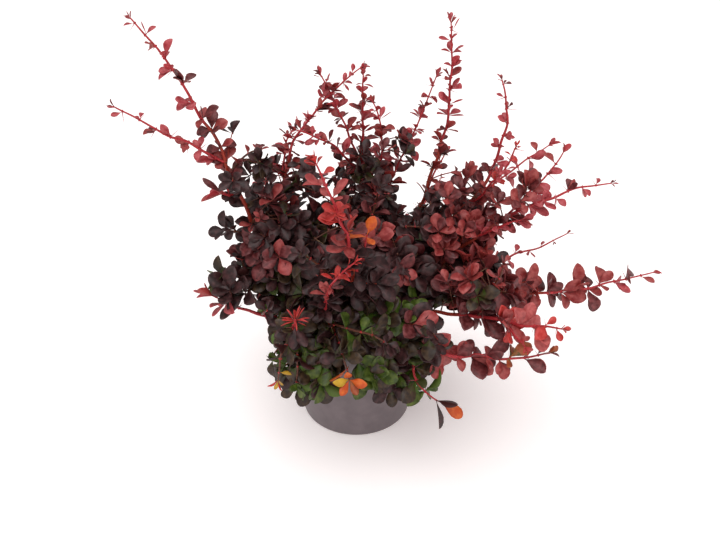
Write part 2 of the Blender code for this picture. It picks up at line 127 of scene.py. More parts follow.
def finish_piece(name, mesh, nodes=()):
    """Link a finished mesh as a piece of the plant, riding on its one body."""
    piece = bpy.data.objects.new(name, mesh)
    bpy.context.scene.collection.objects.link(piece)
    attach(piece, "root")
    if nodes:
        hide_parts(*nodes)


def spun(profile, steps):
    """A bmesh turned about Z from (radius, height) points, with its seam closed."""
    turned = bmesh.new()
    points = [turned.verts.new((radius, 0, height)) for radius, height in profile]
    edges = [turned.edges.new(pair) for pair in zip(points, points[1:])]
    bmesh.ops.spin(turned, geom=points + edges, cent=(0, 0, 0), axis=(0, 0, 1), dvec=(0, 0, 0),
                   angle=2 * pi, steps=steps, use_merge=True)
    bmesh.ops.remove_doubles(turned, verts=turned.verts, dist=0.001 * MM)
    bmesh.ops.recalc_face_normals(turned, faces=turned.faces)
    return turned


def to_mesh(shape, name, material, sharp_angle=50):
    """Write a bmesh to a mesh that shades smooth except over sharp edges."""
    mesh = bpy.data.meshes.new(name)
    shape.to_mesh(mesh)
    shape.free()
    mesh.materials.append(material)
    mesh.shade_smooth()
    mesh.set_sharp_from_angle(angle=radians(sharp_angle))
    return mesh


def wall_radius(height):
    """Outer radius of the tapered wall."""
    top = POT_RIM_RADIUS - RIM_BAND_STEP
    return POT_BASE_RADIUS + (top - POT_BASE_RADIUS) * height / POT_HEIGHT


def rounded(corner, before, after, radius, count=4):
    """Points that round a profile's corner between its two neighbours."""
    corner, before, after = (Vector(place) for place in (corner, before, after))
    start = corner + (before - corner).normalized() * radius
    end = corner + (after - corner).normalized() * radius
    steps = [index / count for index in range(count + 1)]
    return [tuple((1 - s) ** 2 * start + 2 * s * (1 - s) * corner + s * s * end) for s in steps]


band_foot = POT_HEIGHT - RIM_BAND_HEIGHT
rim_inner = (wall_radius(POT_HEIGHT) - POT_WALL, POT_HEIGHT)
rim_outer = (POT_RIM_RADIUS, POT_HEIGHT)
band_low = (POT_RIM_RADIUS - 0.5 * MM, band_foot)
band_root = (wall_radius(band_foot), band_foot)
floor_inner = (wall_radius(POT_FLOOR) - POT_WALL, POT_FLOOR)
chamfer_high = (wall_radius(POT_CHAMFER), POT_CHAMFER)
chamfer_low = (POT_BASE_RADIUS - POT_CHAMFER, 0)
# A mould leaves no sharp corner, so each is rounded by its own small radius.
pot_profile = [(0, POT_FLOOR), floor_inner]
pot_profile += rounded(rim_inner, floor_inner, rim_outer, 0.5 * MM)
pot_profile += rounded(rim_outer, rim_inner, band_low, 1.2 * MM)
pot_profile += rounded(band_low, rim_outer, band_root, 0.6 * MM)
pot_profile += rounded(band_root, band_low, chamfer_high, 0.8 * MM)
pot_profile += rounded(chamfer_high, band_root, chamfer_low, 1.2 * MM)
pot_profile += [chamfer_low, (0, 0)]

# Moulded polypropylene: a fine spark-eroded grain softens the sheen, and faint scuffs and
# dust make the wall uneven.
GRAIN_SIZE = 0.9 * MM       # drawn coarser than the real 0.1 mm so that it shows
polypropylene = patterned("taupe_moulded_polypropylene", ("#5f5457", "#6e6265"), 14 * MM,
                          (0.38, 0.58), detail=6, IOR=1.49)
place = add_node(polypropylene, "ShaderNodeTexCoord").outputs["Object"]
grain = add_node(polypropylene, "ShaderNodeTexNoise", {"Scale": 1 / GRAIN_SIZE}, {"Vector": place})
add_node(polypropylene, "ShaderNodeBump", {"Strength": 0.3, "Distance": 0.05 * MM},
         {"Height": grain.outputs["Fac"]}, "Normal")

drills = bmesh.new()
for index in range(DRAIN_HOLES):
    turn = Matrix.Rotation(2 * pi * index / DRAIN_HOLES, 4, "Z")
    place = turn @ Matrix.Translation((DRAIN_CIRCLE_RADIUS, 0, POT_FLOOR / 2))
    bmesh.ops.create_cone(drills, cap_ends=True, segments=32, radius1=DRAIN_RADIUS,
                          radius2=DRAIN_RADIUS, depth=3 * POT_FLOOR, matrix=place)
blank = bpy.data.objects.new("pot_blank", to_mesh(spun(pot_profile, POT_STEPS), "pot_wall",
                                                  polypropylene))
drill = bpy.data.objects.new("drills", to_mesh(drills, "drills", polypropylene))
for tool in (blank, drill):
    bpy.context.scene.collection.objects.link(tool)
cut = blank.modifiers.new("Drain holes", "BOOLEAN")
cut.operation = "DIFFERENCE"
cut.object = drill
graph = bpy.context.evaluated_depsgraph_get()
drilled = bpy.data.meshes.new_from_object(blank.evaluated_get(graph))
for tool in (blank, drill):
    bpy.data.objects.remove(tool, do_unlink=True)
finish_piece("nursery_pot", drilled, ["pot"])

# The compost is moist dark peat with bark crumbs, tipped in and settled a little under
# the rim. Its surface is uneven, and loose crumbs lie on it.
COMPOST_LOW, COMPOST_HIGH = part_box("compost")
COMPOST_RADIUS = COMPOST_HIGH.x
COMPOST_FOOT_RADIUS = wall_radius(POT_FLOOR) - 2 * POT_WALL
COMPOST_EDGE_HEIGHT = 115 * MM
COMPOST_RINGS = 26
COMPOST_STEPS = 120
LUMP_SIZE = 9 * MM
LUMP_HEIGHT = 1.6 * MM
LUMP_SINK = 0.6                 # keeps the lumps under the CAD solid's height
CRUMB_COUNT = 520
CRUMB_SIZES = (1.0 * MM, 3.2 * MM)
CRUMB_MARGIN = 4 * MM
CRUMB_DENT_SIZE = 1.5 * MM
CRUMB_DENT = 0.25 * MM
CRUMB_SEED = 5
NOISE_SEED = 6                  # noise vectors otherwise take a new seed on each run


def compost_height(radius):
    """Height of the settled surface, which falls from the middle to the wall."""
    return COMPOST_HIGH.z + (COMPOST_EDGE_HEIGHT - COMPOST_HIGH.z) * radius / COMPOST_RADIUS


# Peat gives no sheen, and its crumbs show as dark hollows and dry brown tops.
peat = patterned("moist_peat", ("#17100b", "#4a3524"), 2.5 * MM, (0.9, 1.0), 0.6 * MM)
rings = [COMPOST_RADIUS * ring / COMPOST_RINGS for ring in range(COMPOST_RINGS + 1)]
profile = [(ring, compost_height(ring)) for ring in rings]
profile += [(COMPOST_FOOT_RADIUS, COMPOST_LOW.z), (0, COMPOST_LOW.z)]
ground = spun(profile, COMPOST_STEPS)
for vert in ground.verts:
    flat = Vector((vert.co.x, vert.co.y, 0))
    if vert.co.z > COMPOST_EDGE_HEIGHT - MM and flat.length < COMPOST_RADIUS - MM:
        lump = noise.noise(flat / LUMP_SIZE) + 0.5 * noise.noise(3 * flat / LUMP_SIZE)
        vert.co.z += LUMP_HEIGHT * (lump - LUMP_SINK)
finish_piece("compost_fill", to_mesh(ground, "compost_fill", peat, 80), ["compost"])

noise.seed_set(NOISE_SEED)
crumbs = bmesh.new()
dice = Random(CRUMB_SEED)
for index in range(CRUMB_COUNT):
    bearing = dice.uniform(0, 2 * pi)
    # The square root spreads the crumbs evenly, and they keep off the stool's middle.
    radius = (COMPOST_RADIUS - CRUMB_MARGIN) * dice.uniform(0.03, 1) ** 0.5
    size = dice.uniform(*CRUMB_SIZES)
    turn = Matrix.Rotation(dice.uniform(0, 2 * pi), 4, Vector((dice.random(), dice.random(), 0.3)))
    stretch = Matrix.Diagonal((1, dice.uniform(0.4, 0.8), dice.uniform(0.3, 0.6), 1))
    height = compost_height(radius) - 0.1 * size
    place = Matrix.Translation((radius * cos(bearing), radius * sin(bearing), height))
    bmesh.ops.create_icosphere(crumbs, subdivisions=1, radius=size / 2,
                               matrix=place @ turn @ stretch)
for vert in crumbs.verts:
    vert.co += noise.noise_vector(vert.co / CRUMB_DENT_SIZE) * CRUMB_DENT
finish_piece("compost_crumbs", to_mesh(crumbs, "compost_crumbs", peat, 30))

# The plant's lines repeat the source's: each row is a bough, in millimetres, with the
# knee where its foliage starts, the tip and bow of its stem, the kind of its young end,
# and its side shoots, each with the share of the stem at which it starts.
LIMBS = {
    "left_tall": ((-92, -18, 170), (-190, -40, 440), (12, -5, 22), "slender", [
        (0.46, (-211, -60, 370), (0, 0, -1), "slender"),
        (0.34, (-130, -52, 286), (0, 0, 0), "fan"),
        (0.20, (-84, -50, 262), (-4, -2, 4), "wine"),
        (0.40, (-86, -10, 318), (-6, 0, 4), "wine"),
    ]),
    "left_mid": ((-58, 26, 180), (13, 58, 389), (-46, -2, 8), "leafy", [
        (0.40, (-59, 62, 332), (-8, 0, 0), "leafy"),
        (0.12, (-118, 40, 262), (-2, 0, 6), "wine"),
    ]),
    "left_low": ((-84, -44, 146), (-150, -60, 186), (2, 0, -4), "fan", [
        (0.13, (-112, -40, 226), (-8, 2, 6), "shade"),
        (0.06, (-132, -6, 196), (2, 2, 6), "shade"),
        (0.24, (-86, -78, 172), (2, -2, 4), "shade"),
    ]),
    "centre_tall": ((4, 34, 196), (8, 80, 384), (1, 2, 8), "leafy", [
        (0.42, (-40, 50, 386), (-2, 4, 6), "leafy"),
        (0.36, (-67, 18, 330), (4, -2, 10), "leafy"),
        (0.30, (13, 52, 358), (16, -4, 2), "leafy"),
        (0.12, (85, 52, 384), (4, 2, -10), "leafy"),
    ]),
    "centre_mid": ((14, -14, 196), (26, -30, 292), (-3, 3, 2), "shade", [
        (0.20, (-30, -28, 282), (-4, 0, 6), "wine"),
        (0.10, (72, -36, 246), (0, 0, 8), "shade"),
    ]),
    "centre_front": ((-12, -60, 178), (-31, -150, 351), (16, -16, -8), "flame", [
        (0.36, (10, -130, 284), (3, 0, 2), "spark"),
        (0.22, (-52, -112, 256), (-4, 0, 4), "shade"),
    ]),
    "front_left": ((-52, -70, 146), (-50, -138, 206), (-3, -7, 2), "star", [
        (0.10, (-84, -106, 128), (-2, -4, 8), "green"),
        (0.34, (-74, -124, 118), (-2, -6, 10), "sprig"),
        (0.20, (-58, -116, 104), (2, -10, 12), "green"),
    ]),
    "front_low": ((-12, -86, 142), (6, -146, 265), (-20, -4, 8), "thorny", [
        (0.12, (-4, -134, 126), (0, -6, 12), "ember"),
        (0.22, (36, -136, 172), (0, -4, 6), "shade"),
    ]),
    "front_right": ((42, -76, 146), (190, -112, 152), (0, -10, -8), "autumn", [
        (0.12, (92, -108, 84), (-12, -8, -4), "glow"),
        (0.20, (70, -132, 190), (0, -6, 0), "shade"),
    ]),
    "right_front": ((80, -50, 158), (190, -132, 188), (8, -6, 2), "blush", [
        (0.45, (160, -124, 156), (2, -4, 2), "blush"),
        (0.30, (140, -78, 236), (2, -2, 2), "wine"),
    ]),
    "right_long": ((94, -6, 148), (323, -20, 190), (0, 0, -9), "broad", [
        (0.14, (160, 12, 118), (2, 2, 8), "wine"),
    ]),
    "right_mid": ((86, -16, 190), (254, -30, 290), (-2, 0, 18), "slender", [
        (0.30, (209, 0, 318), (6, 0, -2), "broad"),
        (0.26, (168, -44, 258), (2, -2, 4), "broad"),
    ]),
    "right_upper": ((68, 8, 202), (134, 0, 387), (34, 0, 2), "slender", [
        (0.30, (146, -50, 336), (4, 0, -6), "bristly"),
        (0.16, (210, 40, 312), (-2, 2, 2), "broad"),
    ]),
    "right_tall": ((50, 36, 196), (90, 36, 436), (18, 0, -2), "leafy", [
        (0.16, (102, 66, 300), (2, 0, 4), "broad"),
    ]),
    "right_back": ((82, 40, 158), (260, 70, 198), (-4, 0, -14), "thin", [
        (0.18, (170, 92, 224), (0, 2, 4), "broad"),
        (0.12, (150, 30, 210), (0, 0, 6), "wine"),
    ]),
    "back_left": ((-62, 62, 162), (-128, 124, 250), (4, -4, 4), "slender", [
        (0.20, (-138, 78, 186), (-2, 0, 6), "wine"),
        (0.26, (-76, 146, 196), (2, 2, 4), "slender"),
    ]),
    "back_mid": ((-8, 80, 170), (-22, 168, 262), (2, 6, -4), "slender", [
        (0.20, (-46, 158, 160), (-2, 2, 8), "ember"),
        (0.24, (28, 148, 214), (2, 2, 4), "wine"),
    ]),
    "back_right": ((56, 70, 164), (112, 146, 244), (-2, 2, 4), "slender", [
        (0.18, (50, 160, 156), (0, 2, 10), "wine"),
        (0.24, (146, 108, 166), (2, 2, 8), "broad"),
    ]),
}
GAP = 0.3 * MM                  # how far a stem reaches back over its knee
JOIN_LENGTH = 5 * MM            # straight stretch on both sides of a knee
TIP_LEAF = 8 * MM               # length left at a shoot's end for its last leaf
WAVE_SIZE = 24 * MM             # size and height of a stem's slight bends
WAVE_HEIGHT = 4 * MM
FOOT_TOP, FOOT_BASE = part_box("stem_foot")[1].z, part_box("stem_foot")[0].z
FOOT_RADIUS, FOOT_NECK_RADIUS = 18.5 * MM, 15 * MM
BOUGH_RADIUS, BOUGH_TIP_RADIUS = 2.3 * MM, 1.9 * MM
FOOT_CENTRE = Vector((0, 0, FOOT_TOP - FOOT_NECK_RADIUS))


def arc(start, tip, bow, count):
    """Points of a smooth curve whose middle lies off the straight line by the bow."""
    control = (start + tip) / 2 + 2 * bow
    shares = [index / (count - 1) for index in range(count)]
    return [(1 - s) ** 2 * start + 2 * s * (1 - s) * control + s * s * tip for s in shares]


def stem_line(limb, count=40):
    """Centre line of a limb's stem, which goes straight on from its bough."""
    knee, tip, bow = (Vector(value) * MM for value in limb[:3])
    onward = ((tip - knee) / 2 + 2 * bow).normalized()
    end = tip - TIP_LEAF * ((tip - knee) / 2 - 2 * bow).normalized()
    return [knee - GAP * onward] + arc(knee + JOIN_LENGTH * onward, end, bow, count)


def bough_line(limb):
    """Centre line of a bough, from inside the foot's dome to its knee."""
    knee = Vector(limb[0]) * MM
    stem = stem_line(limb)
    onward = (stem[1] - stem[0]).normalized()
    away = (knee - FOOT_CENTRE).normalized()
    start = FOOT_CENTRE + (FOOT_NECK_RADIUS - 2 * MM) * away
    end = knee - JOIN_LENGTH * onward
    reach = (end - start).length
    curve = interpolate_bezier(start, start + 0.4 * reach * away, end - 0.35 * reach * onward,
                               end, 24)
    return curve + [knee]


def wavy(points):
    """A line with the slight bends of a living stem. Its ends stay in place."""
    last = len(points) - 1
    return [place + 4 * index / last * (1 - index / last) * WAVE_HEIGHT
            * noise.noise_vector(place / WAVE_SIZE) for index, place in enumerate(points)]


def line_length(points):
    """Length of a line of points."""
    return sum((b - a).length for a, b in zip(points, points[1:]))


def point_on(points, share):
    """The place at a share of the way along a line of points."""
    at = share * (len(points) - 1)
    index = min(int(at), len(points) - 2)
    return points[index].lerp(points[index + 1], at - index)


def frames(points):
    """A direction and a square side vector at each point, carried along untwisted."""
    result = []
    side = (points[1] - points[0]).orthogonal().normalized()
    last = len(points) - 1
    for index in range(len(points)):
        along = (points[min(index + 1, last)] - points[max(index - 1, 0)]).normalized()
        side = (side - side.dot(along) * along).normalized()
        result.append((along, side))
    return result


def tubes(name, lines, materials, sides_level=2):
    """One mesh of round tubes, each along its own points with its own radii and slot."""
    data = bpy.data.curves.new(name, "CURVE")
    data.dimensions = "3D"
    data.bevel_depth = 1
    data.bevel_resolution = sides_level
    data.use_fill_caps = True
    for material in materials:
        data.materials.append(material)
    for points, radii, slot in lines:
        spline = data.splines.new("POLY")
        spline.material_index = slot
        spline.points.add(len(points) - 1)
        for knot, place, radius in zip(spline.points, points, radii):
            knot.co = (*place, 1)
            knot.radius = radius
    holder = bpy.data.objects.new(name, data)
    bpy.context.scene.collection.objects.link(holder)
    graph = bpy.context.evaluated_depsgraph_get()
    mesh = bpy.data.meshes.new_from_object(holder.evaluated_get(graph))
    bpy.data.objects.remove(holder, do_unlink=True)
    mesh.shade_smooth()
    return mesh


# The stool and the boughs that spring from it are brown wood under thin ridged bark. They
# are all in one piece with each other, as they grew.
BARK_RIDGE = 2.2 * MM
BARK_RELIEF = 0.3 * MM
RIDGE_STRETCH = 0.35            # ridges run up the boughs, so they are longer than wide
GNARL_SIZE = 6 * MM
GNARL_HEIGHT = 1 * MM
GNARL_SINK = 0.5                # keeps the gnarls near the CAD solid's surface
# Ridged bark: matt, with grey-brown ridges over darker furrows.
bark = patterned("ridged_brown_bark", ("#2c1a10", "#8a5533"), BARK_RIDGE, (0.75, 0.9),
                 0.4 * MM, detail=6, spread=(0.3, 0.75))

bough_lines = []
for limb in LIMBS.values():
    points = bough_line(limb)
    last = len(points) - 1
    radii = [BOUGH_RADIUS + (BOUGH_TIP_RADIUS - BOUGH_RADIUS) * index / last
             for index in range(last + 1)]
    bough_lines.append((points, radii, 0))
bough_mesh = tubes("boughs", bough_lines, [bark], 3)
for vert, normal in zip(bough_mesh.vertices, [v.normal.copy() for v in bough_mesh.vertices]):
    ridge = noise.noise(Vector((vert.co.x, vert.co.y, RIDGE_STRETCH * vert.co.z)) / BARK_RIDGE)
    vert.co += BARK_RELIEF * 0.5 * ridge * normal
finish_piece("boughs", bough_mesh, [f"bough_{name}" for name in LIMBS])

quarter = [0.5 * pi * ring / 12 for ring in range(13)]
profile = [(FOOT_NECK_RADIUS * sin(angle), FOOT_CENTRE.z + FOOT_NECK_RADIUS * cos(angle))
           for angle in quarter]
foot = spun(profile + [(FOOT_RADIUS, FOOT_BASE), (0, FOOT_BASE)], 72)
bmesh.ops.subdivide_edges(foot, edges=[e for e in foot.edges if e.calc_length() > 3 * MM],
                          cuts=3, use_grid_fill=True)
bmesh.ops.triangulate(foot, faces=[f for f in foot.faces if len(f.verts) > 4])
for vert in foot.verts:
    if vert.co.z > FOOT_BASE + 0.5 * MM:
        gnarl = noise.noise(vert.co / GNARL_SIZE) + 0.5 * noise.noise(vert.co / BARK_RIDGE)
        vert.co += vert.normal * (gnarl - GNARL_SINK) * GNARL_HEIGHT
finish_piece("stem_stool", to_mesh(foot, "stem_stool", bark, 80), ["stem_foot"])

# Every stem and shoot carries nodes, two fifths of a turn apart. A node has a bud, one
# thin spine and a fan of leaves, and in the older parts leafy twigs grow between them.
# Leaves grow larger, broader and darker with the distance from their shoot's tip.
STEM_RADIUS, SHOOT_RADIUS, TWIG_RADIUS = 1.9 * MM, 1.3 * MM, 0.8 * MM
END_RADIUS = 0.65 * MM
TWIG_END_RADIUS = 0.5 * MM
NODE_TURN = radians(144)
NODE_SPACING = 15 * MM
FULL_LEAF = 26 * MM             # length of a grown leaf low down in the crown,
HIGH_LOSS = 7 * MM              # how much shorter it is high up,
RIGHT_LOSS = 3 * MM             # and how much shorter still in the dense right column
LEAF_HEIGHTS = (190 * MM, 300 * MM)
FULL_WIDTH_SHARE = 0.6
FULL_COUNT = 4.8                # leaves of a node far from any tip
TWIG_LENGTHS = (16 * MM, 42 * MM)
TWIG_RISES = (15, 50)           # degrees by which twigs leave their stem
TWIG_SPACING = 18 * MM
TWIG_POINTS = 8
BARE_DISTANCE = 150 * MM        # no twigs grow nearer than this to a young tip
BROWN_DISTANCE = 200 * MM       # twigs this far from a young tip have brown bark
SPINE_LENGTH = 12 * MM
SPINE_SHARE = 0.85              # share of the nodes whose spine is left
YOUNG_BUD, YOUNG_SPINE = 120 * MM, 100 * MM     # they are red up to here from the tip
LEAF_FAN = radians(105)
LEAF_RISES = (0, 62)            # degrees by which leaves rise along their shoot
LEAF_LENGTHS = (0.58, 1.08)     # least and greatest share of a leaf's full length
SPUR_LENGTH = 1.2 * MM
LOW_ROOM, HIGH_ROOM = 12 * MM, 16 * MM      # least distance between fans, low and high up
ROOM_HEIGHTS = (170 * MM, 290 * MM)
LIGHT = Vector((0, -0.4, 1)).normalized()
FRONT = Vector((0, -1, 0.4)).normalized()
YoungEnd = namedtuple("YoungEnd", "tints leaf width red small few last spacing")
# kind of young end: its tints, its leaves' length and width share, how far the tints, the
# small leaves and the small fans reach in millimetres, how many leaves end it, and the
# distance between its nodes
YOUNG_ENDS = {
    "slender": YoungEnd(("crimson", "crimson", "red"), 8 * MM, 0.4, 105, 44, 60, 4, 14 * MM),
    "thin": YoungEnd(("crimson", "red"), 8 * MM, 0.42, 105, 150, 90, 4, 15 * MM),
    "leafy": YoungEnd(("crimson", "crimson", "red"), 10 * MM, 0.42, 105, 34, 17, 6, 7.5 * MM),
    "broad": YoungEnd(("crimson", "red"), 14 * MM, 0.56, 60, 14, 60, 3, 12 * MM),
    "blush": YoungEnd(("blush", "scarlet"), 9 * MM, 0.56, 74, 22, 36, 4, 13 * MM),
    "flame": YoungEnd(("scarlet", "scarlet", "blush"), 11 * MM, 0.46, 58, 20, 14, 8, 7 * MM),
    "star": YoungEnd(("scarlet",), 15 * MM, 0.09, 12, 16, 25, 13, 10 * MM),
    "thorny": YoungEnd(("scarlet",), 8 * MM, 0.2, 44, 90, 34, 6, 6 * MM),
    "bristly": YoungEnd(("scarlet", "crimson"), 7 * MM, 0.34, 60, 90, 22, 6, 6 * MM),
    "fan": YoungEnd(("red", "crimson"), 24 * MM, 0.36, 18, 14, 12, 4, 14 * MM),
    "ember": YoungEnd(("orange", "amber", "orange", "rust"), 21 * MM, 0.5, 12, 20, 30, 5, 14 * MM),
    "spark": YoungEnd(("orange",), 20 * MM, 0.5, 2, 15, 15, 1, 14 * MM),
    "glow": YoungEnd(("orange",), 30 * MM, 0.42, 2, 15, 15, 1, 14 * MM),
    "sprig": YoungEnd(("scarlet", "amber"), 14 * MM, 0.34, 16, 25, 40, 4, 14 * MM),
    "autumn": YoungEnd(("red", "burgundy", "rust"), 13 * MM, 0.52, 90, 20, 36, 4, 11 * MM),
    "wine": YoungEnd(("burgundy", "red"), 12 * MM, 0.5, 40, 24, 26, 5, 12 * MM),
    "shade": YoungEnd(("dark",), 16 * MM, 0.6, 10, 20, 18, 5, 12 * MM),
    "green": YoungEnd(("green",), 18 * MM, 0.6, 30, 20, 18, 5, 12 * MM),
}
LASTING_RED = 40                # tints that reach further than this leave a reddish stretch
# kinds whose bright end no other leaf may hide, whose last leaves spread flat, whose one
# last leaf faces the front, whose young leaves stand on two sides, and whose bark is old
SHOWY = ("flame", "star", "thorny", "ember", "spark", "glow", "sprig")
FLAT_ENDS = ("star", "ember", "shade", "green", "wine")
FACING_ENDS = ("spark", "glow")
TWO_RANKED = ("slender", "thin", "broad", "blush", "autumn")
OLD_BARK = ("shade", "green", "wine", "ember", "sprig")
RANKED_LENGTH = 120 * MM
SHOW_ROOM = 13 * MM             # room round a bright end that no other leaf fills
# tints that the neighbouring leaves of an older spray take by chance
MINGLED = {
    "green": ("green", "green", "olive"),
    "olive": ("olive", "olive", "dark"),
    "burgundy": ("burgundy", "burgundy", "red"),
    "red": ("red", "red", "burgundy"),
}
# open ways through the crown between the upright shoots: two places and a radius, in
# millimetres
SKY_GAPS = (
    ((-25, -60, 319), (-36, 120, 269), 12),
    ((-19, -60, 288), (-28, 120, 225), 9),
    ((-18, -60, 261), (-27, 120, 188), 8),
    ((57, -60, 304), (76, 120, 244), 12),
    ((53, -60, 284), (72, 120, 224), 12),
    ((78, -140, 208), (114, 60, 84), 11),
    ((-96, -120, 189), (-139, 60, 75), 14),
    ((-82, -140, 170), (-125, 60, 28), 12),
)
RAGGED_SIZE = 11 * MM           # the gaps' edges wander over patches of about this size
GROWTH_SEED = 27

growth = Random(GROWTH_SEED)
stem_lines, twig_lines = [], []
spines, buds, leaves = [], [], []
fans, showy_ends = {}, []


def is_clear(place):
    """False inside the pot or its wall, close under its rim, or outside the CAD's box."""
    spare = 4 * MM
    if any(not low - spare < value < high + spare
           for low, value, high in zip(CAD_LOW, place, CAD_HIGH)):
        return False
    radius = hypot(place.x, place.y)
    if place.z > POT_HEIGHT + 3 * MM:
        return True
    if radius > POT_RIM_RADIUS + 3 * MM:
        return place.z > spare
    return radius < POT_RIM_RADIUS - 8 * MM and place.z > COMPOST_HIGH.z + 3 * MM


def note_fan(place):
    """Keep the place of a fan of leaves by its part of the crown."""
    fans.setdefault(tuple(round(value / HIGH_ROOM) for value in place), []).append(place)


def has_room(place):
    """Whether the fans so far leave room for one more. They stand closer low down."""
    rise = (place.z - ROOM_HEIGHTS[0]) / (ROOM_HEIGHTS[1] - ROOM_HEIGHTS[0])
    room = LOW_ROOM + (HIGH_ROOM - LOW_ROOM) * min(1, max(0, rise))
    steps = [round(value / HIGH_ROOM) for value in place]
    cells = product(*((step - 1, step, step + 1) for step in steps))
    return all((place - other).length > room for cell in cells for other in fans.get(cell, ()))


def in_sky_gap(place):
    """True in one of the open ways through the crown, whose edges are ragged."""
    wander = 1 + noise.noise(place / RAGGED_SIZE)
    for front, back, radius in SKY_GAPS:
        nearest, share = intersect_point_line(place / MM, front, back)
        if (place / MM - nearest).length < radius * wander:
            return True
    return False


def pick_tint(distance, kind, place):
    """The colour of one spray: bright at a young end, then wine red, then dark, with
    green low in front and where the plant shades itself."""
    end = YOUNG_ENDS[kind]
    age = distance / MM
    x, y, z = place / MM
    if age < end.red:
        return growth.choice(end.tints)
    if age < 1.45 * end.red and end.red > LASTING_RED:              # just below a red end
        mix = {"red": 0.4, "burgundy": 0.6}
    elif age < 1.8 * end.red and z > 170 and end.red > LASTING_RED:
        mix = {"red": 0.1, "burgundy": 0.5, "dark": 0.4}
    elif z < 150 and y < -20 and x < -10:                           # the skirt's left corner
        mix = {"green": 0.62, "olive": 0.32, "dark": 0.06}
    elif z < 150 and y < -20 and x < 70:                            # the rest of the skirt
        mix = {"green": 0.4, "olive": 0.46, "dark": 0.14}
    elif z < 200 and y < 0 and x < 140 - 0.4 * z:                   # in front, above the skirt
        mix = {"green": 0.14, "olive": 0.46, "dark": 0.4}
    elif z < 185 and x < 90:                                        # low at the back and left
        mix = {"green": 0.08, "olive": 0.4, "dark": 0.52}
    elif x > 80:                                                    # the sunny right side
        mix = {"burgundy": 0.5, "red": 0.38, "dark": 0.08, "olive": 0.04}
    else:
        mix = {"dark": 0.66, "burgundy": 0.22, "olive": 0.12}
    return growth.choices(list(mix), list(mix.values()))[0]


def leaf_size(distance, kind, place):
    """Length and width share of a leaf, and how far its shoot is grown there, to 1."""
    end = YOUNG_ENDS[kind]
    grown = 1 - exp(-distance / (end.small * MM))
    rise = (place.z - LEAF_HEIGHTS[0]) / (LEAF_HEIGHTS[1] - LEAF_HEIGHTS[0])
    full = FULL_LEAF - HIGH_LOSS * min(1, max(0, rise))
    if rise > 0 and 60 * MM < place.x < 150 * MM:
        full -= RIGHT_LOSS
    width = end.width + (FULL_WIDTH_SHARE - end.width) * grown
    return end.leaf + (full - end.leaf) * grown, width, grown


def add_leaf(root, aim, face_up, length, width, tint, kind):
    """Note a leaf's place, unless it would run into the pot or crowd a bright end."""
    aim = aim.normalized()
    for share in (0.5, 1):
        place = root + share * length * aim
        if not is_clear(place):
            return
        crowds = in_sky_gap(place) or any((place - end).length < SHOW_ROOM for end in showy_ends)
        if crowds and kind not in SHOWY:
            return
    if tint in MINGLED:
        tint = growth.choice(MINGLED[tint])
    leaves.append((root, aim, face_up, length, width, tint))


def stray():
    """A vector that strays by up to 1 in each direction."""
    return Vector([growth.uniform(-1, 1) for axis in range(3)])


def add_rosette(root, along, outward, distance, kind):
    """A bud, a spine and the fan of leaves of one node."""
    full_length, width, grown = leaf_size(distance, kind, root)
    filled = 1 - exp(-(distance / (YOUNG_ENDS[kind].few * MM)) ** 1.5)
    tint = pick_tint(distance, kind, root)
    count = 1 + round((FULL_COUNT - 1) * filled + growth.uniform(-0.2, 0.6))
    spur = root + SPUR_LENGTH * outward
    note_fan(root)
    for leaf in range(count):
        spread = 2 * leaf / (count - 1) - 1 if count > 1 else 0
        fan = LEAF_FAN * (0.4 + 0.6 * filled) * spread + growth.uniform(-0.5, 0.5)
        rise = radians(growth.uniform(*LEAF_RISES) - 12 * abs(spread))
        away = Matrix.Rotation(fan, 3, along) @ outward
        aim = cos(rise) * away + sin(rise) * along
        face_up = (0.7 * (cos(rise) * along - sin(rise) * away) + 0.7 * LIGHT
                   + 0.6 * stray())
        if kind in TWO_RANKED:
            face_up = 0.4 * face_up + FRONT
        length = full_length * growth.uniform(*LEAF_LENGTHS)
        add_leaf(spur, aim, face_up, length, width * growth.uniform(0.88, 1.12), tint, kind)
    buds.append((root, outward, MM + 0.8 * MM * grown, distance < YOUNG_BUD))
    if growth.random() < SPINE_SHARE:
        aim = outward - 0.3 * along + 0.25 * stray()
        length = SPINE_LENGTH * growth.uniform(0.6, 1.15)
        spines.append((root, aim.normalized(), length, distance < YOUNG_SPINE))


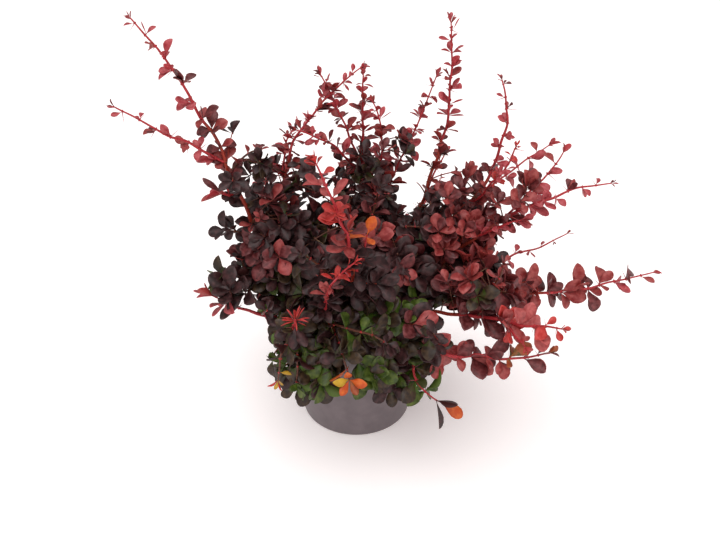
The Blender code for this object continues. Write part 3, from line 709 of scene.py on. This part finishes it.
def grow_nodes(points, first, beyond, kind, crowded=False):
    """Nodes along a line from a share of its length on, and small leaves at its end. Beyond
    is how far past that end the shoot's young tip counts as being. A crowded line has
    nodes only where the others leave room."""
    end = YOUNG_ENDS[kind]
    length = line_length(points)
    lines = frames(points)
    turn = growth.uniform(0, 2 * pi)
    share = first
    flip = 1
    while share < 0.98:
        along, side = lines[round(share * (len(points) - 1))]
        distance = beyond + (1 - share) * length
        turn += NODE_TURN + growth.uniform(-0.2, 0.2)
        flip = -flip
        outward = Matrix.Rotation(turn, 3, along) @ side
        if kind in TWO_RANKED and distance < RANKED_LENGTH:
            rank = flip * along.cross(FRONT).normalized()
            outward = Matrix.Rotation(growth.uniform(-0.6, 0.6), 3, along) @ rank
        place = point_on(points, share)
        if kind in SHOWY or not in_sky_gap(place) and (not crowded or has_room(place)):
            add_rosette(place, along, outward, distance, kind)
        gap = NODE_SPACING + (end.spacing - NODE_SPACING) * exp(-distance / (60 * MM))
        share += gap * growth.uniform(0.85, 1.15) / length
    along, side = lines[-1]
    size, width, grown = leaf_size(beyond, kind, points[-1])
    tint = pick_tint(beyond, kind, points[-1])
    narrow = 0.35
    if beyond or kind in FLAT_ENDS:
        narrow = 1.2
        outside = Vector((points[-1].x, points[-1].y, 0)).normalized()
        along = (along + 0.8 * (LIGHT + outside)).normalized()
        side = along.orthogonal().normalized()
    note_fan(points[-1])
    facing = along + 0.6 * LIGHT + (2 * FRONT if kind in FACING_ENDS else Vector())
    for leaf in range(end.last):
        around = Matrix.Rotation(leaf * NODE_TURN + growth.uniform(-0.4, 0.4), 3, along) @ side
        aim = along + (narrow + 0.9 * leaf / end.last) * around
        add_leaf(points[-1] - 0.5 * leaf * MM * along, aim, facing - 0.3 * around,
                 size * growth.uniform(0.66, 1), width * growth.uniform(0.9, 1.1),
                 growth.choice(end.tints) if beyond == 0 else tint, kind)


def grow_twig(root, end, kind, distance, first=0.35):
    """One leafy twig, which leaves its stem at the root and hangs or rises to its end."""
    size = (end - root).length
    twig = arc(root, end, Vector((0, 0, 0.08 * size)), TWIG_POINTS)
    if not has_room(end) or not all(is_clear(place) for place in twig[3:]):
        return
    radii = [TWIG_RADIUS + (TWIG_END_RADIUS - TWIG_RADIUS) * index / (TWIG_POINTS - 1)
             for index in range(TWIG_POINTS)]
    twig_lines.append((twig, radii, 1 if distance < BROWN_DISTANCE else 2))
    grow_nodes(twig, first, distance, kind, True)


def grow_twigs(points, beyond, kind):
    """Short leafy twigs along the older part of a line. They lean to the light."""
    length = line_length(points)
    lines = frames(points)
    turn = growth.uniform(0, 2 * pi)
    share = 0.04
    while beyond + (1 - share) * length > BARE_DISTANCE and share < 0.96:
        turn += NODE_TURN + growth.uniform(-0.3, 0.3)
        along, side = lines[round(share * (len(points) - 1))]
        outward = Matrix.Rotation(turn, 3, along) @ side
        rise = radians(growth.uniform(*TWIG_RISES))
        root = point_on(points, share)
        distance = beyond + (1 - share) * length
        aim = (cos(rise) * outward + sin(rise) * along + 0.25 * LIGHT).normalized()
        grow_twig(root, root + growth.uniform(*TWIG_LENGTHS) * aim, kind, distance)
        share += TWIG_SPACING * growth.uniform(0.8, 1.2) / length


# The crown is dense where many old twigs branch. Each such part is a rounded mass of leafy
# twigs: its centre and half sizes in millimetres, and its count of twig ends.
DENSE_PARTS = (
    ((8, -64, 134), (62, 52, 48), 165),         # skirt that hangs in front
    ((-46, -98, 132), (22, 22, 28), 24),        # the skirt's green corner on the left
    ((2, -10, 192), (76, 75, 52), 165),         # low dome over the pot
    ((-122, -50, 184), (16, 16, 12), 10),       # low shoot on the left
    ((-80, -12, 218), (28, 46, 60), 52),        # left side
    ((-92, -16, 300), (16, 22, 18), 13),        # its upper fork
    ((-49, 0, 278), (14, 18, 16), 10),          # left edge of the middle column
    ((4, 42, 262), (34, 34, 46), 48),           # middle column
    ((42, 30, 308), (12, 16, 16), 8),           # its top
    ((104, 8, 236), (40, 42, 42), 60),          # right column
    ((158, -28, 268), (18, 20, 18), 10),        # its side fork
    ((118, -42, 188), (36, 40, 30), 40),        # right side
    ((0, 75, 165), (100, 62, 50), 130),         # back
)
GOLDEN_TURN = pi * (3 - 5 ** 0.5)
FILL_LENGTHS = (14 * MM, 95 * MM)
FILL_LEAFY_LENGTH = 45 * MM     # only this end stretch of a long twig bears leaves


def fill_part(part, wood):
    """Twigs that fill a dense part of the crown. Each grows from the nearest wood out to a
    place near the part's rounded surface."""
    centre, half, count = part
    for index in range(count):
        height = 1 - 2 * (index + 0.5) / count
        bearing = index * GOLDEN_TURN + growth.uniform(-0.2, 0.2)
        ring = (1 - height * height) ** 0.5
        ray = Vector((ring * cos(bearing), ring * sin(bearing), height))
        reach = 1.1 - 0.6 * growth.random() ** 1.5
        end = Vector([(c + h * reach * value) * MM for c, h, value in zip(centre, half, ray)])
        if not is_clear(end):
            continue
        out = Vector([value / h for value, h in zip(ray, half)]).normalized()
        near = [(end - place).length for place in wood
                if (end - place).dot(out) > 0.4 * (end - place).length > 0.4 * FILL_LENGTHS[0]]
        if near and min(near) < FILL_LENGTHS[1]:
            root = next(place for place in wood if (end - place).length == min(near))
            bare = max(0.2, 1 - FILL_LEAFY_LENGTH / min(near))
            grow_twig(root, end, "shade", BROWN_DISTANCE, bare)


# distances from the tip where the bark turns from crimson to orange red and to brown
STEM_CUTS = (0, 110 * MM, 240 * MM, 1)


def add_stem(points, radius, kind):
    """A stem as lengths that meet end to end, from older wood to the young red end."""
    length = line_length(points)
    last = len(points) - 1
    beyond = STEM_CUTS[2] if kind in OLD_BARK else 0
    distances = [beyond + (1 - index / last) * length for index in range(last + 1)]
    radii = [END_RADIUS + (radius - END_RADIUS) * min(1, 1.35 * (1 - index / last)) ** 0.8
             for index in range(last + 1)]
    for slot, (near, far) in enumerate(zip(STEM_CUTS, STEM_CUTS[1:])):
        inside = [index for index, distance in enumerate(distances) if near <= distance < far]
        if not inside:
            continue
        first, final = max(inside[0] - 1, 0), inside[-1]
        stem_lines.append((points[first:final + 1], radii[first:final + 1], slot))


# Wood is where the filling twigs may spring from: all but the young ends. Each shaft is a
# line that bears nodes, the share of it where they begin, how far its end is from a young
# tip, and its kind.
wood, shafts = [], []
for limb in LIMBS.values():
    kind, shoots = limb[3:]
    bough = bough_line(limb)
    stem = wavy(stem_line(limb))
    add_stem(stem, SHOOT_RADIUS if kind == "thorny" else STEM_RADIUS, kind)
    shafts += [(stem, 0.02, 0, kind), (bough, 0.45, line_length(stem), kind)]
    wood += bough[8:] + stem[:30:2]
    if kind in SHOWY:
        showy_ends += [stem[-1], stem[-5], stem[-9]]
    for start, shoot_tip, shoot_bow, shoot_kind in shoots:
        root = point_on(stem, start)
        tip, bow = Vector(shoot_tip) * MM, Vector(shoot_bow) * MM
        end = tip - TIP_LEAF * ((tip - root) / 2 - 2 * bow).normalized()
        shoot = wavy(arc(root, end, bow, 24))
        add_stem(shoot, SHOOT_RADIUS, shoot_kind)
        shafts.append((shoot, 0.1, 0, shoot_kind))
        wood += shoot[:14:2]
        if shoot_kind in SHOWY:
            showy_ends += [shoot[-1], shoot[-6]]
for shaft in shafts:
    grow_nodes(*shaft)
for points, first, beyond, kind in shafts:
    grow_twigs(points, beyond, kind)
for part in DENSE_PARTS:
    fill_part(part, wood)

# Young bark is smooth and finely grooved, with a soft waxy sheen: bright crimson on this
# year's ends, orange red below them and brown where it is oldest.
GROOVE_SIZE = 1.4 * MM
GROOVE_DEPTH = 0.12 * MM
young_barks = [patterned(f"young_bark_{name}", tones, GROOVE_SIZE, (0.4, 0.6), GROOVE_DEPTH,
                         IOR=1.42)
               for name, tones in (("crimson", ("#961a21", "#bd3138")),
                                   ("orange_red", ("#862318", "#ac3c26")),
                                   ("brown", ("#43211a", "#74402a")))]
masses = [f"foliage_{name}" for name in LIMBS]
finish_piece("stems", tubes("stems", stem_lines, young_barks, 2), masses)
finish_piece("twigs", tubes("twigs", twig_lines, young_barks, 1))


def scattered(name, form, places, materials):
    """One mesh of many copies of a form, each by its own 3 by 3 turn and place."""
    corners, loops, sizes, slots = form
    count = len(places)
    turns = np.array([turn for turn, place in places])
    shifts = np.array([place for turn, place in places])
    all_corners = np.einsum("nij,vj->nvi", turns, corners) + shifts[:, None, :]
    all_loops = loops[None, :] + len(corners) * np.arange(count)[:, None]
    mesh = bpy.data.meshes.new(name)
    mesh.vertices.add(count * len(corners))
    mesh.vertices.foreach_set("co", all_corners.astype(np.float32).ravel())
    mesh.loops.add(count * len(loops))
    mesh.loops.foreach_set("vertex_index", all_loops.astype(np.int32).ravel())
    mesh.polygons.add(count * len(sizes))
    starts = np.concatenate(([0], np.cumsum(np.tile(sizes, count))[:-1]))
    mesh.polygons.foreach_set("loop_start", starts.astype(np.int32))
    mesh.polygons.foreach_set("material_index", np.tile(slots, count).astype(np.int32))
    mesh.update(calc_edges=True)
    for material in materials:
        mesh.materials.append(material)
    mesh.shade_smooth()
    return mesh


def form_of(shape):
    """A bmesh as arrays: corners, face corner indices, face sizes and material slots."""
    shape.verts.index_update()
    corners = np.array([vert.co for vert in shape.verts], float)
    loops = np.array([vert.index for face in shape.faces for vert in face.verts])
    sizes = np.array([len(face.verts) for face in shape.faces])
    slots = np.array([face.material_index for face in shape.faces])
    shape.free()
    return corners, loops, sizes, slots


# Each node has a spine, a hardened needle, beside a short budded spur. They are tan on
# older wood and pinkish red on the young shoots.
SPINE_FOOT_SHARE, SPINE_TIP_SHARE = 0.035, 0.004        # radii as shares of its length
HORN_PATCH = 4 * MM


def placed(entries, is_young):
    """Turn and place of each spine or bud of one age, which points along its aim."""
    return [(np.array(aim.to_track_quat("Z", "Y").to_matrix() * size), np.array(root))
            for root, aim, size, young in entries if young == is_young]


spine_shape = bmesh.new()
bmesh.ops.create_cone(spine_shape, cap_ends=True, segments=4, radius1=SPINE_FOOT_SHARE,
                      radius2=SPINE_TIP_SHARE, depth=1, matrix=Matrix.Translation((0, 0, 0.5)))
spine_form = form_of(spine_shape)
bud_shape = bmesh.new()
bmesh.ops.create_icosphere(bud_shape, subdivisions=1, radius=1,
                           matrix=Matrix.Diagonal((0.8, 0.8, 1.4, 1)))
bud_form = form_of(bud_shape)
# Hardened plant tissue has a horn-like satin sheen, a little worn here and there.
tan_horn = patterned("hardened_spine_tan", ("#8d6a4c", "#b08d6b"), HORN_PATCH, (0.35, 0.6))
young_horn = patterned("hardened_spine_young", ("#98343c", "#c0606a"), HORN_PATCH, (0.35, 0.6))
for name, horn, skin in (("old", tan_horn, young_barks[2]), ("young", young_horn, young_barks[0])):
    for part, form, entries, material in (("spines", spine_form, spines, horn),
                                          ("buds", bud_form, buds, skin)):
        places = placed(entries, name == "young")
        finish_piece(f"{part}_{name}", scattered(f"{part}_{name}", form, places, [material]))

# Leaves are spoon-shaped: rounded at the end, narrowed to a short stalk, folded a little along
# the midrib. The upper side is matt with a bloom and a painted sheen, and the underside paler.
LEAF_THICKNESS_SHARE = 0.014
STALK_WIDTH_SHARE = 0.07
WIDEST_STATION = 0.63
STALK_TAPER, END_ROUNDING = 1.1, 0.6        # how the outline swells before it and after it
BLOOM_SHEEN_PATCH = 5 * MM
QUILTING_HEIGHT = 0.3 * MM
STATIONS = (0, 0.1, 0.25, 0.42, 0.6, 0.76, 0.88, 0.96, 1)
# fold of the midrib, droop of the end, twist along the blade
LEAF_FORMS = ((0.2, 0.1, 0.0), (0.32, 0.2, 0.14), (0.12, -0.12, -0.16))
# upper side, its lighter bloom and painted sheen, underside, and the upper side's greener half by
# the stalk
LEAF_TINTS = {
    "dark": ("#240c0c", "#4a2829", "#3e1817", "#240c0c"),
    "olive": ("#26160b", "#4a3622", "#3c3d18", "#33400f"),
    "green": ("#33430d", "#596622", "#4f6224", "#3a5a10"),
    "burgundy": ("#54191b", "#803f40", "#742a2b", "#54191b"),
    "red": ("#8a2c2c", "#aa504c", "#9a3430", "#8a2c2c"),
    # crimson, scarlet and blush are the young leaves' red, made brighter as a painted glow of
    # light shining through them
    "crimson": ("#a03038", "#c05c60", "#b0383e", "#a03038"),
    "scarlet": ("#ae2824", "#ca4640", "#c2302c", "#ae2824"),
    "blush": ("#9e3c3c", "#c2625e", "#b23c3c", "#9e3c3c"),
    "rust": ("#8e3c1c", "#a85a34", "#96441f", "#5a4a1a"),
    "orange": ("#b9440c", "#d06522", "#c45c20", "#b9440c"),
    "amber": ("#b88a12", "#cfa52e", "#b58a20", "#b88a12"),
}


def leaf_form(fold, droop, twist):
    """A leaf of unit length and width along X: a grid shaped to its outline, then given
    its thickness. The upper side is slots 0 and 2, and the underside is slot 1."""
    blade = bmesh.new()
    last = len(STATIONS) - 1
    bmesh.ops.create_grid(blade, x_segments=last, y_segments=2, size=0.5)
    for vert in blade.verts:
        station = STATIONS[round((vert.co.x + 0.5) * last)]
        across = 2 * vert.co.y
        swell = max(sin(pi * station ** 1.5), 0)
        swell **= STALK_TAPER if station < WIDEST_STATION else END_ROUNDING
        half = 0.5 * max(STALK_WIDTH_SHARE * (1 - station), swell)
        half *= station < 1
        lift = fold * abs(across) * half - droop * station ** 2
        vert.co = Vector((station, across * half, lift + twist * across * half * station))
    bmesh.ops.remove_doubles(blade, verts=blade.verts, dist=0.002)
    bmesh.ops.recalc_face_normals(blade, faces=blade.faces)
    if sum(face.normal.z for face in blade.faces) < 0:
        bmesh.ops.reverse_faces(blade, faces=blade.faces)
    bmesh.ops.solidify(blade, geom=list(blade.faces), thickness=LEAF_THICKNESS_SHARE)
    bmesh.ops.recalc_face_normals(blade, faces=blade.faces)
    for face in blade.faces:
        upper = 0 if face.calc_center_median().x > 0.5 else 2
        face.material_index = upper if face.normal.z > 0.05 else 1
    return form_of(blade)


leaf_forms = [leaf_form(*shape) for shape in LEAF_FORMS]
for tint, (upper, bloom_sheen_tone, under, base) in LEAF_TINTS.items():
    # A leaf's waxy bloom and a painted sheen grey it in soft lighter patches, and the slight
    # quilting of its blade breaks up its low satin sheen. The underside has no bloom or painted
    # sheen, and less sheen.
    upper_bloom_sheen = {"size": BLOOM_SHEEN_PATCH, "rough": (0.38, 0.58), "relief": QUILTING_HEIGHT,
            "spread": (0.4, 0.68), "IOR": 1.45}
    faces = [patterned(f"leaf_upper_{tint}", (upper, bloom_sheen_tone), **upper_bloom_sheen),
             patterned(f"leaf_under_{tint}", (under, under), BLOOM_SHEEN_PATCH, (0.5, 0.65), IOR=1.42),
             patterned(f"leaf_base_{tint}", (base, bloom_sheen_tone), **upper_bloom_sheen)]
    for number, form in enumerate(leaf_forms):
        places = []
        for index, (root, aim, face_up, length, width, leaf_tint) in enumerate(leaves):
            if leaf_tint != tint or index % len(leaf_forms) != number:
                continue
            up = (face_up - face_up.dot(aim) * aim).normalized()
            across = up.cross(aim)
            turn = np.array((aim * length, across * length * width, up * length)).T
            places.append((turn, np.array(root)))
        if places:
            name = f"leaves_{tint}_{number + 1}"
            finish_piece(name, scattered(name, form, places, faces))

# The floor is a plain pale light table, and wide soft lights shine on the plant from above
# and from the front, as in a product studio.
FLOOR_HALF_WIDTH = 45           # metres, so that its edge is far behind the plant
floor_shape = bmesh.new()
bmesh.ops.create_grid(floor_shape, x_segments=1, y_segments=1, size=FLOOR_HALF_WIDTH)
# Opal acrylic: matt and nearly white, and its own faint warm glow thins the shadows.
acrylic = patterned("opal_acrylic_sheet", ("#fbf6f5", "#fcf7f6"), 400 * MM, (0.85, 0.95),
                    Emission_Color=linear("#fff0ef"), Emission_Strength=0.2)
floor = bpy.data.objects.new("floor", to_mesh(floor_shape, "floor", acrylic))
bpy.context.scene.collection.objects.link(floor)


def soft_light(name, toward, spread, strength):
    """A wide, far soft light that shines in the given direction."""
    light = bpy.data.lights.new(name, "SUN")
    light.angle = radians(spread)
    light.energy = strength
    holder = bpy.data.objects.new(name, light)
    holder.rotation_euler = Vector(toward).to_track_quat("-Z", "Y").to_euler()
    bpy.context.scene.collection.objects.link(holder)


soft_light("top_light", (0.15, 0.25, -1), 75, 1.9)
soft_light("front_light", (-0.35, 1, -0.8), 50, 0.75)
world = bpy.data.worlds.new("studio_white")
bpy.context.scene.world = world
world.use_nodes = True
world.node_tree.nodes["Background"].inputs["Color"].default_value = linear("#ffffff")
world.node_tree.nodes["Background"].inputs["Strength"].default_value = 0.45
bpy.context.scene.view_settings.view_transform = "Standard"

# The camera stands in front of the plant, half a metre away, and looks down on it at the
# viewing angle of the photograph.
CAMERA_PLACE = (0.0044, -0.5384, 0.454)
CAMERA_PITCH = radians(27)
camera_data = bpy.data.cameras.new("camera")
camera_data.lens = 27.5
camera_data.sensor_width = 36
camera_data.clip_start = 0.01
camera = bpy.data.objects.new("camera", camera_data)
camera.location = CAMERA_PLACE
camera.rotation_euler = (pi / 2 - CAMERA_PITCH, 0, 0)
bpy.context.scene.collection.objects.link(camera)
bpy.context.scene.camera = camera
